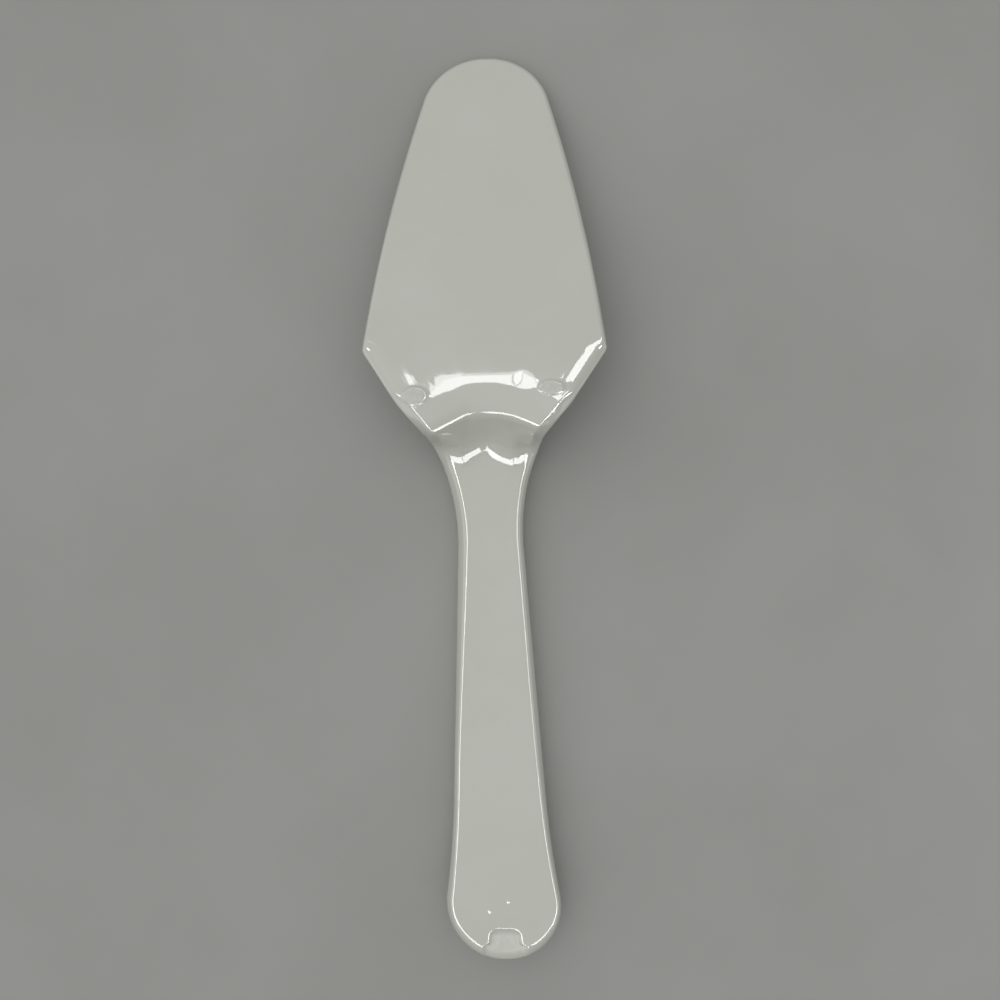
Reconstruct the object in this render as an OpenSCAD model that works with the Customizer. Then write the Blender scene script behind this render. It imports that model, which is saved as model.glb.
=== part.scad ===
// China cake server, lying on its serving face with its underside up.
// The blade's tip points along +Y, the handle along -Y, and +Z is up.
// The origin lies on the surface under the middle of its length and width.

/* [Blade] */
// Length of the blade, from its tip to its shoulder corners
blade_length = 88; // [76:1:100]
// Width of the blade across its shoulder corners
blade_w = 68.2; // [60:0.5:74]
// Width between the two corners that the nose is rounded from
nose_w = 28.6; // [26:0.2:32]
// Radius of the rounded nose
nose_r = 18.4; // [12:0.2:18.6]
// Distance from the tip to the middle of the bow in the blade's sides
bow_at = 48.1; // [44:0.1:52]
// Width across the two corners that the bow is rounded from
bow_w = 56.4; // [54:0.2:60]
// Radius of the bow in the blade's sides
bow_r = 470; // [200:5:600]
// Radius of the shoulder corners
shoulder_r = 2.6; // [1.5:0.1:4]
// Thickness of the blade at its tip
tip_t = 3.4; // [2.6:0.1:4.4]
// Thickness of the blade at its base
base_t = 4.6; // [3.6:0.1:6]
// Angle of the serving face to the surface that the server lies on
blade_angle = 11; // [8:0.5:13]

/* [Neck] */
// Distance from the shoulder corners to the bulge below them
bulge_at = 15.2; // [13:0.1:17]
// Width across the corners that the bulge is rounded from
bulge_w = 48.2; // [45:0.2:52]
// Radius of the bulge
bulge_r = 30; // [12:1:40]
// Distance from the bulge to the throat, where the outline turns inwards
throat_at = 9.6; // [8:0.1:11]
// Width across the corners that the throat is rounded from
throat_w = 31.4; // [29:0.2:33]
// Radius of the throat
throat_r = 12; // [8:0.5:16]
// Distance from the throat to the waist, the narrowest place
waist_at = 16.8; // [14:0.1:20]
// Width across the corners that the waist is rounded from
waist_w = 17.6; // [15:0.1:19]
// Radius of the long curve into the waist
waist_r = 62; // [40:1:70]
// Distance from the shoulder corners to the crest, where the back turns down from the blade
crest_at = 12.1; // [11:0.1:13]
// Half the length over which the back rolls over at the crest
crest_blend = 5.6; // [4:0.1:6]
// Distance from the crest to the brow, the tight edge above the steep neck
brow_at = 5.7; // [5:0.1:7]
// Height of the crest above the brow
brow_drop = 1.3; // [0.9:0.1:2]
// Half the length over which the brow is rounded
brow_blend = 1.2; // [0.6:0.1:2]
// Distance from the brow to the foot of the neck
neck_run = 10.5; // [9.6:0.1:13]
// Half the length over which the foot of the neck is rounded
foot_blend = 5.5; // [4:0.1:6]
// Radius of the arch that the brow follows in plan
arch_r = 25; // [18:1:60]
// Distance from the crest to the foot of the neck on the serving face
sole_run = 18; // [15:0.5:20]
// Half the length over which the serving face is rounded at both ends of the neck
sole_blend = 6; // [4:0.5:7]

/* [Handle] */
// Distance from the waist to the flare near the handle's end
flare_at = 97.9; // [80:0.5:115]
// Width across the corners that the flare is rounded from
flare_w = 27.8; // [24:0.2:30]
// Radius of the flare
flare_r = 260; // [100:10:300]
// Distance from the flare to the handle's end
end_at = 32.5; // [29:0.5:38]
// Width across the corners that the round end is made from
end_w = 38; // [36:0.2:40]
// Radius of the round end
end_r = 16.2; // [12:0.1:16.4]
// Thickness of the handle
handle_t = 9.6; // [8:0.1:12]
// Thickness of the handle at its end
end_t = 8.4; // [7:0.1:10]
// Height that the handle's end curves up from the surface
end_lift = 4.6; // [2:0.1:8]
// Distance from the waist to where that curve sets in, as a straight line would
lift_at = 68; // [60:1:80]
// Half the length over which the curve sets in
lift_blend = 38; // [20:1:44]
// Angle by which this hand-made handle leans to one side of the blade
lean = 1.9; // [-2:0.1:2.5]
// Half the length over which the lean sets in
lean_blend = 14; // [8:1:20]

/* [Edge] */
// Width of the sloping wall round the back face, beside the neck
wall_w = 2.7; // [2:0.1:3]
// Width of that wall round the blade, as a share of it
rim_share = 0.3; // [0.2:0.05:0.5]
// Width of that wall at the waist, as a share of it
waist_share = 0.85; // [0.7:0.05:1]
// Width of that wall where the handle's end begins, as a share of it
end_share = 0.6; // [0.5:0.05:0.9]
// Width of that wall at the very end of the handle, as a share of it
toe_share = 1.1; // [0.7:0.05:1.2]

/* [Joint] */
// Distance from the shoulder corners to the slip joint of blade and handle
joint_at = 34; // [32:0.5:38]
// Thickness of the layer of slip that joins them
slip_t = 0.8; // [0.5:0.1:1.5]

/* [Left foot] */
// Distance of the left foot from the centre line
left_foot_x = 19.3; // [17:0.1:20]
// Distance of the left foot below the shoulder corners
left_foot_at = 13; // [11:0.1:14]
// Length of the left foot, across the blade
left_foot_l = 6.2; // [5:0.1:7]
// Width of the left foot, along the blade
left_foot_w = 4.8; // [3:0.1:5.5]

/* [Right foot] */
// Distance of the right foot from the centre line
right_foot_x = 18.6; // [17:0.1:20]
// Distance of the right foot below the shoulder corners
right_foot_at = 11.1; // [9:0.1:13]
// Length of the right foot, across the blade
right_foot_l = 6.4; // [5:0.1:7]
// Width of the right foot, along the blade
right_foot_w = 3.4; // [3:0.1:5.5]

/* [Feet] */
// Height that both feet stand out of the blade's back
foot_rise = 0.5; // [0.3:0.1:1]
// Depth that both feet are set into the blade's back
foot_seat = 1; // [0.6:0.1:1.4]

/* [End notch] */
// Width of the notch in the back of the handle's end
notch_w = 9.7; // [9:0.1:11]
// Length of the notch, from the handle's end
notch_l = 9.8; // [9:0.1:11]
// Radius of the notch's two inner corners
notch_r = 2; // [1:0.1:2.5]
// Depth of the notch
notch_d = 1.6; // [1.2:0.1:2.2]
// Width of the bare rest on the notch's floor
rest_w = 7.4; // [6:0.1:8]
// Length of the rest, along the handle
rest_l = 4.4; // [3.6:0.1:5]
// Radius of the rest's corners
rest_r = 1.4; // [0.8:0.1:1.6]
// Thickness of the rest
rest_t = 0.4; // [0.3:0.1:0.7]
// Distance from the handle's end to the rest
rest_margin = 3.2; // [2.8:0.1:3.6]

/* [Hidden] */

china = [0.87, 0.88, 0.84];
bare_china = [0.80, 0.80, 0.76];
slip = [0.83, 0.83, 0.79];

// Places along Y, from the tip down to the handle's end
total_length = blade_length + bulge_at + throat_at + waist_at + flare_at + end_at;
tip_y = total_length / 2;
shoulder_y = tip_y - blade_length;
bulge_y = shoulder_y - bulge_at;
throat_y = bulge_y - throat_at;
waist_y = throat_y - waist_at;
flare_y = waist_y - flare_at;
end_y = flare_y - end_at;
crest_y = shoulder_y - crest_at;
brow_y = crest_y - brow_at;
foot_y = brow_y - neck_run;
sole_foot_y = crest_y - sole_run;
lift_y = waist_y - lift_at;
joint_y = shoulder_y - joint_at;

// Corners of the right half of the outline, each with its radius and its number of steps
corners = [
    [0, tip_y],
    [nose_w / 2, tip_y],
    [bow_w / 2, tip_y - bow_at],
    [blade_w / 2, shoulder_y],
    [bulge_w / 2, bulge_y],
    [throat_w / 2, throat_y],
    [waist_w / 2, waist_y],
    [flare_w / 2, flare_y],
    [end_w / 2, end_y],
    [0, end_y]
];
corner_radii = [0, nose_r, bow_r, shoulder_r, bulge_r, throat_r, waist_r, flare_r, end_r, 0];
corner_steps = [0, 12, 4, 6, 3, 4, 6, 3, 14, 0];
last = len(corners) - 1;
// Least radius that a corner keeps in a loop drawn inwards
least_r = 0.8;
// Length of the neck, as a share, over which the arch dies out
arch_fade_share = 0.55;
// Most of a straight edge that the arcs at its ends may take
most_share = 0.98;
// Longest step along the outline, and along the neck
step = 5.5;
neck_step = 1.5;

// Shape of the edge, from the back face to the serving face: how far each loop lies inwards,
// as a share of the wall's width, and how deep, as a share of the thickness
edge_shares = [
    [1.3, 0], [1.08, 0.006], [0.78, 0.03], [0.42, 0.1], [0.12, 0.21], [0, 0.38],
    [0.02, 0.6], [0.14, 0.75], [0.45, 0.87], [1.05, 0.96], [1.8, 1]
];
// Places across the flat faces, as shares of the half width
across_shares = [0.8, 0.6, 0.4, 0.2, 0, -0.2, -0.4, -0.6, -0.8];
// Sides of a foot
foot_sides = 40;
// How far cuts run past the surface
overrun = 5;

// Outline, as straight edges and the arcs between them

function unit(v) = v / norm(v);
function inward(e) = [e[1], -e[0]];
function turned(v, a) = [v[0] * cos(a) - v[1] * sin(a), v[0] * sin(a) + v[1] * cos(a)];
function edge_before(c, i) = unit(c[i] - c[i - 1]);
function edge_after(c, i) = unit(c[i + 1] - c[i]);
function bend(c, i) = acos(min(1, edge_before(c, i) * edge_after(c, i)));
// 1 at a corner that points outwards, -1 at one that points inwards
function bend_side(c, i) =
    let (e = edge_before(c, i), f = edge_after(c, i))
    e[0] * f[1] - e[1] * f[0] < 0 ? 1 : -1;
function reach(c, r, i) = i == 0 || i == last ? 0 : r[i] * tan(bend(c, i) / 2);
// Share of a corner's radius that fits between its neighbours
function fitting_share(c, r, i) = min(
    1,
    most_share * norm(c[i] - c[i - 1]) / (reach(c, r, i - 1) + reach(c, r, i)),
    most_share * norm(c[i + 1] - c[i]) / (reach(c, r, i) + reach(c, r, i + 1)));

function inset_corners(d) = [
    for (i = [0:last])
        i == 0 ? corners[i] - [0, d]
        : i == last ? corners[i] + [0, d]
        : let (n = inward(edge_before(corners, i)), m = inward(edge_after(corners, i)))
            corners[i] + (n + m) * d / (1 + n * m)
];
function inset_radii(d) = [
    for (i = [0:last])
        i == 0 || i == last ? 0
        : max(least_r, corner_radii[i] - bend_side(corners, i) * d)
];
function arc_points(c, r, i) =
    let (
        radius = r[i] * fitting_share(c, r, i),
        n = inward(edge_before(c, i)),
        side = bend_side(c, i),
        start = c[i] - edge_before(c, i) * radius * tan(bend(c, i) / 2),
        centre = start + n * side * radius)
    [for (j = [0:corner_steps[i]])
        centre - turned(n, -side * bend(c, i) * j / corner_steps[i]) * side * radius];
function half_loop(d) =
    let (c = inset_corners(d), r = inset_radii(d))
    [for (i = [1:last - 1]) each arc_points(c, r, i)];

// Every loop is divided in the same way as the outermost one
outer_half = half_loop(0);
function beside_neck(y) = y < shoulder_y && y > foot_y - foot_blend;
function longest_step(a, b) = beside_neck((a[1] + b[1]) / 2) ? neck_step : step;
steps_between = [
    for (i = [0:len(outer_half) - 2])
        let (a = outer_half[i], b = outer_half[i + 1])
        max(1, ceil(norm(b - a) / longest_step(a, b)))
];
function divided(points) = concat(
    [for (i = [0:len(points) - 2], j = [0:steps_between[i] - 1])
        points[i] + (points[i + 1] - points[i]) * j / steps_between[i]],
    [points[len(points) - 1]]);

// The wall is narrow round the blade and wide beside the neck. It narrows again along the
// handle, and widens round its end.
wall_table = [
    [end_y, toe_share], [end_y + end_r, end_share], [waist_y, waist_share], [throat_y, 1],
    [shoulder_y - shoulder_r / 2, 1], [shoulder_y + shoulder_r, rim_share], [tip_y, rim_share]
];
outer_points = divided(outer_half);
function walled(points) = [
    for (i = [0:len(points) - 1])
        let (outer = outer_points[i])
        outer + (points[i] - outer) * lookup(outer[1], wall_table)
];

// Side view, as straight stretches with rounded corners

function rounding(y, at, half_length, slope_change) =
    let (part = max(0, half_length - abs(y - at)))
    slope_change * part * part / (4 * half_length);
function slope(table, i) = (table[i + 1][1] - table[i][1]) / (table[i + 1][0] - table[i][0]);

// The rounded edge of the tip is what touches the surface, so the face is set by it
tip_low = min([
    for (s = edge_shares) s[0] * wall_w * rim_share * tan(blade_angle) + (1 - s[1]) * tip_t
]);
crest_low = (tip_y - crest_y) * tan(blade_angle) - tip_low;
crest_high = crest_low + base_t;
serving_line = [
    [end_y, end_lift], [lift_y, 0], [sole_foot_y, 0], [crest_y, crest_low], [tip_y, -tip_low]
];
serving_blends = [0, lift_blend, sole_blend, sole_blend, 0];
back_line = [
    [end_y, end_lift + end_t], [lift_y, handle_t], [foot_y, handle_t],
    [brow_y, crest_high - brow_drop], [crest_y, crest_high], [tip_y, tip_t - tip_low]
];
back_blends = [0, lift_blend, foot_blend, brow_blend, crest_blend, 0];

function rounded_line(table, blends, y) = lookup(y, table) + rounding_sum(table, blends, y, 1);
function rounding_sum(table, blends, y, i) =
    i > len(table) - 2 ? 0
    : rounding(y, table[i][0], blends[i], slope(table, i) - slope(table, i - 1))
        + rounding_sum(table, blends, y, i + 1);

// The blade is flat, and the neck falls away from it along an arch in plan. The arch dies out
// towards the foot of the neck, so that the handle is flat across again.
function ease(u) = let (v = max(0, min(1, u))) v * v * (3 - 2 * v);
function arched(x, y) =
    min(tip_y, y + x * x / (2 * arch_r) * ease((y - foot_y) / (neck_run * arch_fade_share)));
function blade_line(table, y) =
    let (i = len(table) - 2)
    table[i][1] + (y - table[i][0]) * slope(table, i);
function height(table, blends, x, y) =
    let (v = arched(x, y))
    blade_line(table, y) + rounded_line(table, blends, v) - blade_line(table, v);
function serving_z(x, y) = height(serving_line, serving_blends, x, y);
function back_z(x, y) = height(back_line, back_blends, x, y);
function lean_x(y) =
    let (below = max(0, foot_y - y))
    tan(lean) * (below + rounding(y, foot_y, lean_blend, 1));

// Surface of the whole server: loops over the rounded edge, closed by the two faces

halves = [for (s = edge_shares) walled(divided(half_loop(s[0] * wall_w)))];
rows = len(halves[0]) - 1;
around = 2 * (rows + 1);
loops = len(edge_shares);
across = len(across_shares);

function placed(p, depth) =
    [p[0] + lean_x(p[1]), p[1], back_z(p[0], p[1]) * (1 - depth) + serving_z(p[0], p[1]) * depth];
function loop_point(k, i) =
    i <= rows ? halves[k][i] : [-halves[k][around - 1 - i][0], halves[k][around - 1 - i][1]];
function face_points(k) = [
    for (i = [1:rows - 1], s = across_shares)
        placed([halves[k][i][0] * s, halves[k][i][1]], edge_shares[k][1])
];
skin_points = concat(
    [for (k = [0:loops - 1], i = [0:around - 1]) placed(loop_point(k, i), edge_shares[k][1])],
    face_points(0),
    face_points(loops - 1));

function loop_index(k, i) = k * around + i % around;
// Index of column j in row i of a face: the loop's own points lie at both ends of the row
function face_index(k, i, j) =
    let (first = loops * around + (k == 0 ? 0 : (rows - 1) * across))
    j < 0 ? loop_index(k, i)
    : j >= across ? loop_index(k, around - 1 - i)
    : first + (i - 1) * across + j;
// The first and the last row have two points, and their neighbours are joined to the nearer one
function near_end(k, i, j) = loop_index(k, j < floor(across / 2) ? i : around - 1 - i);
function face_cells(k) = concat(
    [for (j = [-1:across - 1])
        [near_end(k, 0, j), face_index(k, 1, j), face_index(k, 1, j + 1)]],
    [[loop_index(k, 0), face_index(k, 1, floor(across / 2)), loop_index(k, around - 1)]],
    [for (i = [1:rows - 2], j = [-1:across - 1])
        [face_index(k, i, j), face_index(k, i + 1, j), face_index(k, i + 1, j + 1), face_index(k, i, j + 1)]],
    [for (j = [-1:across - 1])
        [face_index(k, rows - 1, j), near_end(k, rows, j), face_index(k, rows - 1, j + 1)]],
    [[face_index(k, rows - 1, floor(across / 2)), loop_index(k, rows), loop_index(k, rows + 1)]]);
function reversed(cell) = [for (i = [len(cell) - 1:-1:0]) cell[i]];
// A cell with four points is split, because its points need not lie in one plane
function split(cells) = [
    for (c = cells) each len(c) == 3 ? [c] : [[c[0], c[1], c[2]], [c[0], c[2], c[3]]]
];
wall_cells = [
    for (k = [0:loops - 2], i = [0:around - 1])
        [loop_index(k, i), loop_index(k + 1, i), loop_index(k + 1, i + 1), loop_index(k, i + 1)]
];
skin_faces = concat(
    split(wall_cells),
    [for (c = split(face_cells(0))) reversed(c)],
    split(face_cells(loops - 1)));

module whole_china() {
    polyhedron(points = skin_points, faces = skin_faces, convexity = 4);
}

// Everything between two places along Y
module slab(low_y, high_y) {
    side = total_length;
    translate([-side / 2, low_y, -side / 2])
        cube([side, high_y - low_y, side]);
}

// Feet: flat-topped ovals that lie in the plane of the blade's back

function plane_z(y) = blade_line(back_line, y);
back_angle = atan((plane_z(crest_y) - plane_z(tip_y)) / (tip_y - crest_y));

module foot_solid(x, at, length, width) {
    translate([x, shoulder_y - at, plane_z(shoulder_y - at)])
        rotate([-back_angle, 0, 0])
        translate([0, 0, -foot_seat])
        linear_extrude(foot_seat + foot_rise)
        polygon([
            for (i = [0:foot_sides - 1])
                let (a = 360 * i / foot_sides)
                [length / 2 * cos(a), width / 2 * sin(a)]
        ]);
}

// Notch: cut from above into the handle's end, square to its back

notch_y = end_y + notch_l;
notch_angle = atan((back_z(0, end_y) - back_z(0, notch_y)) / notch_l);
notch_floor = back_z(0, notch_y) - notch_d;

module notch_outline(low_y) {
    polygon(concat(
        [[notch_w / 2, low_y]],
        [for (a = [0:15:90]) [notch_w / 2 - notch_r * (1 - cos(a)), -notch_r * (1 - sin(a))]],
        [for (a = [90:15:180]) [-notch_w / 2 + notch_r * (1 + cos(a)), -notch_r * (1 - sin(a))]],
        [[-notch_w / 2, low_y]]));
}
function corner_arc(x, y, first, r) =
    [for (a = [first:15:first + 90]) [x + r * cos(a), y + r * sin(a)]];
module rest_outline() {
    x = rest_w / 2 - rest_r;
    y = rest_l / 2 - rest_r;
    translate([0, rest_margin + rest_l / 2 - notch_l])
        polygon(concat(
            corner_arc(x, y, 0, rest_r), corner_arc(-x, y, 90, rest_r),
            corner_arc(-x, -y, 180, rest_r), corner_arc(x, -y, 270, rest_r)));
}
module on_notch_floor() {
    translate([lean_x(notch_y), notch_y, notch_floor])
        rotate([-notch_angle, 0, 0])
        children();
}

// Pieces

module blade() {
    color(china)
        difference() {
            intersection() {
                whole_china();
                slab(joint_y + slip_t / 2, tip_y + overrun);
            }
            foot_solid(-left_foot_x, left_foot_at, left_foot_l, left_foot_w);
            foot_solid(right_foot_x, right_foot_at, right_foot_l, right_foot_w);
        }
}

module handle() {
    color(china)
        difference() {
            intersection() {
                whole_china();
                slab(end_y - overrun, joint_y - slip_t / 2);
            }
            on_notch_floor()
                linear_extrude(notch_d + overrun)
                notch_outline(-notch_l - overrun);
        }
}

module neck_slip() {
    color(slip)
        intersection() {
            whole_china();
            slab(joint_y - slip_t / 2, joint_y + slip_t / 2);
        }
}

module left_foot() {
    color(bare_china)
        foot_solid(-left_foot_x, left_foot_at, left_foot_l, left_foot_w);
}

module right_foot() {
    color(bare_china)
        foot_solid(right_foot_x, right_foot_at, right_foot_l, right_foot_w);
}

module end_rest() {
    color(bare_china)
        on_notch_floor()
        linear_extrude(rest_t)
        rest_outline();
}

blade();
handle();
neck_slip();
left_foot();
right_foot();
end_rest();
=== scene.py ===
import bisect
import math

import bmesh
import bpy
from mathutils import Matrix, Vector, noise


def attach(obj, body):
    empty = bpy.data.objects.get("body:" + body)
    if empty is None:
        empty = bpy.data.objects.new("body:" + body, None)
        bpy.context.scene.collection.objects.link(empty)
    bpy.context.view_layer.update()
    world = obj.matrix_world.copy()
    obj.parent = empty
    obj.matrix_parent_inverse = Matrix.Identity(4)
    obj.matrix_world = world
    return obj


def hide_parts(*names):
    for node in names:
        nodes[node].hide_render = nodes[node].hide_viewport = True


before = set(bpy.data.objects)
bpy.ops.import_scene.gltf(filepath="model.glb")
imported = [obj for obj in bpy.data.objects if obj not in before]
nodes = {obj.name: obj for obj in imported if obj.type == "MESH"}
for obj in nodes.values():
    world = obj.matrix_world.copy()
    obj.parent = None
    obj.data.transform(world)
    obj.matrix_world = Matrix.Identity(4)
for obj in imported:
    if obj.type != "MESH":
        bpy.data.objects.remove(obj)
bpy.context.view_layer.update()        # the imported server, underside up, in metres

mm = 0.001
print("frame loaded:", ", ".join(sorted(nodes)))


# Camera, at the photograph's viewing angle

camera = {
    "place": (18.52, -1.68, 327.22),    # mm
    "turns": (-0.392, -2.652, 0.287),   # degrees about X, Y and Z
    "focal": 1114,                      # in pixels of the frame
    "frameWidth": 1000,
    "sensor": 36,                       # mm
    "near": 0.01, "far": 20,            # metres
}


def placeCamera():
    lens = bpy.data.cameras.new("camera")
    lens.sensor_width = camera["sensor"]
    lens.sensor_fit = "HORIZONTAL"
    lens.lens = lens.sensor_width * camera["focal"] / camera["frameWidth"]
    lens.clip_start = camera["near"]
    lens.clip_end = camera["far"]
    eye = bpy.data.objects.new("camera", lens)
    bpy.context.scene.collection.objects.link(eye)
    turnX, turnY, turnZ = (math.radians(a) for a in camera["turns"])
    toEye = (Matrix.Rotation(turnZ, 3, "Z") @ Matrix.Rotation(turnX, 3, "X")
             @ Matrix.Rotation(turnY, 3, "Y"))
    place = Vector(camera["place"]) * mm
    eye.matrix_world = Matrix.Translation(place) @ toEye.transposed().to_4x4()
    bpy.context.scene.camera = eye


placeCamera()
print("camera placed")


# Nodes of the world and of the materials

def addNode(tree, kind, **values):
    node = tree.nodes.new(kind)
    for key, value in values.items():
        setattr(node, key, value)
    return node


def calculate(tree, operation, first, second):
    node = addNode(tree, "ShaderNodeMath", operation=operation)
    for value, socket in ((first, node.inputs[0]), (second, node.inputs[1])):
        if isinstance(value, bpy.types.NodeSocket):
            tree.links.new(value, socket)
        else:
            socket.default_value = value
    return node.outputs[0]


# Light: a soft dome, brightest above and a little to the left, lights the china. The window panes
# and the soft boxes are only there for the gloss to show.

light = {
    "domeTint": (1.0, 1.0, 0.99), "domeAxis": (-0.42, 0.12, 0.9),
    "domeLow": 0.48, "domeHigh": 0.54,
    "paneHeight": 620,
    # x from and to, y from and to, in mm, and brightness
    "panes": [(-5, 62, 240, 362, 5.5), (62, 104, 240, 315, 5.5), (104, 235, 225, 348, 5.5),
              (-165, -10, 238, 350, 5.0), (-86, -62, 350, 380, 4.0),
              (-126, -108, 350, 380, 5.5), (-62, 5, 350, 380, 2.4)],
    # place and aim, length and width, in mm, and brightness
    "boxes": [((-430, -277, 560), (0, -277, 12), (595, 197), 6.5),
              ((430, -277, 560), (0, -277, 12), (595, 125), 8.5),
              ((-224, -368, 552), (0, 0, 12), (480, 235), 5.5),
              ((259, -344, 552), (0, 0, 12), (402, 235), 5.5),
              ((-700, -100, 150), (0, -100, 12), (1400, 300), 0.5),
              ((700, -100, 150), (0, -100, 12), (1400, 300), 0.6)],
}


def hangLamp(name, at, aim, size, brightness):
    lamp = bpy.data.lights.new(name, "AREA")
    lamp.shape = "RECTANGLE"
    lamp.size = size[0] * mm
    lamp.size_y = size[1] * mm
    lamp.energy = brightness * math.pi * lamp.size * lamp.size_y
    at, aim = Vector(at) * mm, Vector(aim) * mm
    turn = (at - aim).normalized().to_track_quat("Z", "Y")
    hung = bpy.data.objects.new(name, lamp)
    hung.matrix_world = Matrix.Translation(at) @ turn.to_matrix().to_4x4()
    hung.visible_camera = False
    hung.visible_diffuse = False
    bpy.context.scene.collection.objects.link(hung)


def lightStudio():
    world = bpy.data.worlds.new("studio")
    world.use_nodes = True
    tree = world.node_tree
    back = tree.nodes["Background"]
    back.inputs["Color"].default_value = (*light["domeTint"], 1)
    direction = addNode(tree, "ShaderNodeTexCoord").outputs["Generated"]
    facing = addNode(tree, "ShaderNodeVectorMath", operation="DOT_PRODUCT")
    facing.inputs[1].default_value = Vector(light["domeAxis"]).normalized()
    tree.links.new(direction, facing.inputs[0])
    above = calculate(tree, "MAXIMUM", facing.outputs["Value"], 0)
    overhead = calculate(tree, "MULTIPLY", calculate(tree, "POWER", above, 2), light["domeHigh"])
    tree.links.new(calculate(tree, "ADD", overhead, light["domeLow"]), back.inputs["Strength"])
    bpy.context.scene.world = world
    bpy.context.scene.view_settings.view_transform = "Standard"
    for i, (x0, x1, y0, y1, brightness) in enumerate(light["panes"]):
        x, y = (x0 + x1) / 2, (y0 + y1) / 2
        hangLamp("pane%d" % i, (x, y, light["paneHeight"]), (x, y, 0), (x1 - x0, y1 - y0),
                 brightness)
    for i, box in enumerate(light["boxes"]):
        hangLamp("softBox%d" % i, *box)


lightStudio()
print("light set")


# Sizes of the server, in mm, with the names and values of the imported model. Only rimShare
# differs: the sloping wall round the blade is wider here.

server = {
    "bladeLength": 88, "bladeWidth": 68.2, "noseWidth": 28.6, "noseRadius": 18.4,
    "bowAt": 48.1, "bowWidth": 56.4, "bowRadius": 470, "shoulderRadius": 2.6,
    "tipThick": 3.4, "baseThick": 4.6, "bladeAngle": 11,
    "bulgeAt": 15.2, "bulgeWidth": 48.2, "bulgeRadius": 30,
    "throatAt": 9.6, "throatWidth": 31.4, "throatRadius": 12,
    "waistAt": 16.8, "waistWidth": 17.6, "waistRadius": 62,
    "crestAt": 12.1, "crestBlend": 5.6, "browAt": 5.7, "browDrop": 1.3, "browBlend": 1.2,
    "neckRun": 10.5, "footBlend": 5.5, "archRadius": 25, "archFade": 0.55,
    "soleRun": 18, "soleBlend": 6,
    "flareAt": 97.9, "flareWidth": 27.8, "flareRadius": 260,
    "endAt": 32.5, "endWidth": 38, "endRadius": 16.2,
    "handleThick": 9.6, "endThick": 8.4, "endLift": 4.6, "liftAt": 68, "liftBlend": 38,
    "lean": 1.9, "leanBlend": 14, "jointAt": 34, "slip": 0.8,
    "wall": 2.7, "rimShare": 0.42, "waistShare": 0.85, "endShare": 0.6, "toeShare": 1.1,
    "leastRadius": 0.8, "mostShare": 0.98,
}

tipY = (server["bladeLength"] + server["bulgeAt"] + server["throatAt"] + server["waistAt"]
        + server["flareAt"] + server["endAt"]) / 2
shoulderY = tipY - server["bladeLength"]
bulgeY = shoulderY - server["bulgeAt"]
throatY = bulgeY - server["throatAt"]
waistY = throatY - server["waistAt"]
flareY = waistY - server["flareAt"]
endY = flareY - server["endAt"]
crestY = shoulderY - server["crestAt"]
browY = crestY - server["browAt"]
footY = browY - server["neckRun"]
soleFootY = crestY - server["soleRun"]
liftY = waistY - server["liftAt"]
jointY = shoulderY - server["jointAt"]

corners = [Vector(c) for c in (
    (0, tipY), (server["noseWidth"] / 2, tipY), (server["bowWidth"] / 2, tipY - server["bowAt"]),
    (server["bladeWidth"] / 2, shoulderY), (server["bulgeWidth"] / 2, bulgeY),
    (server["throatWidth"] / 2, throatY), (server["waistWidth"] / 2, waistY),
    (server["flareWidth"] / 2, flareY), (server["endWidth"] / 2, endY), (0, endY))]
cornerRadii = [0, server["noseRadius"], server["bowRadius"], server["shoulderRadius"],
               server["bulgeRadius"], server["throatRadius"], server["waistRadius"],
               server["flareRadius"], server["endRadius"], 0]
nose, bow, shoulder, bulge, throat, end = 1, 2, 3, 4, 5, 8     # numbers of the corners


# The outline's right half, drawn inwards by any distance: one arc for each corner

def inward(i):
    along = (corners[i + 1] - corners[i]).normalized()
    return Vector((along.y, -along.x))


def insetOutline(inset):
    count = len(corners)
    moved = [corners[0] - Vector((0, inset))]
    bends, sides = [0], [1]
    for i in range(1, count - 1):
        n, m = inward(i - 1), inward(i)
        moved.append(corners[i] + (n + m) * inset / (1 + n.dot(m)))
        bends.append(n.angle(m))
        sides.append(1 if n.x * m.y - n.y * m.x < 0 else -1)
    moved.append(corners[-1] + Vector((0, inset)))
    bends.append(0)
    sides.append(1)
    radii = [max(server["leastRadius"], r - s * inset) if 0 < i < count - 1 else 0
             for i, (r, s) in enumerate(zip(cornerRadii, sides))]
    reach = [r * math.tan(b / 2) for r, b in zip(radii, bends)]
    arcs = [{"start": moved[0], "stop": moved[0]}]
    for i in range(1, count - 1):
        before = (moved[i] - moved[i - 1]).length
        after = (moved[i + 1] - moved[i]).length
        fits = min(1, server["mostShare"] * before / (reach[i - 1] + reach[i]),
                   server["mostShare"] * after / (reach[i] + reach[i + 1]))
        along, n = (moved[i] - moved[i - 1]).normalized(), inward(i - 1)
        radius = radii[i] * fits
        start = moved[i] - along * radius * math.tan(bends[i] / 2)
        centre = start + n * sides[i] * radius
        arc = {"start": start, "centre": centre, "radius": radius, "side": sides[i],
               "bend": bends[i], "n": n}
        arc["stop"] = arcPoint(arc, 1)
        arcs.append(arc)
    arcs.append({"start": moved[-1], "stop": moved[-1]})
    return arcs


def arcPoint(arc, share):
    turn = -arc["side"] * arc["bend"] * share
    n = arc["n"]
    turned = Vector((n.x * math.cos(turn) - n.y * math.sin(turn),
                     n.x * math.sin(turn) + n.y * math.cos(turn)))
    return arc["centre"] - turned * arc["side"] * arc["radius"]


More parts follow.
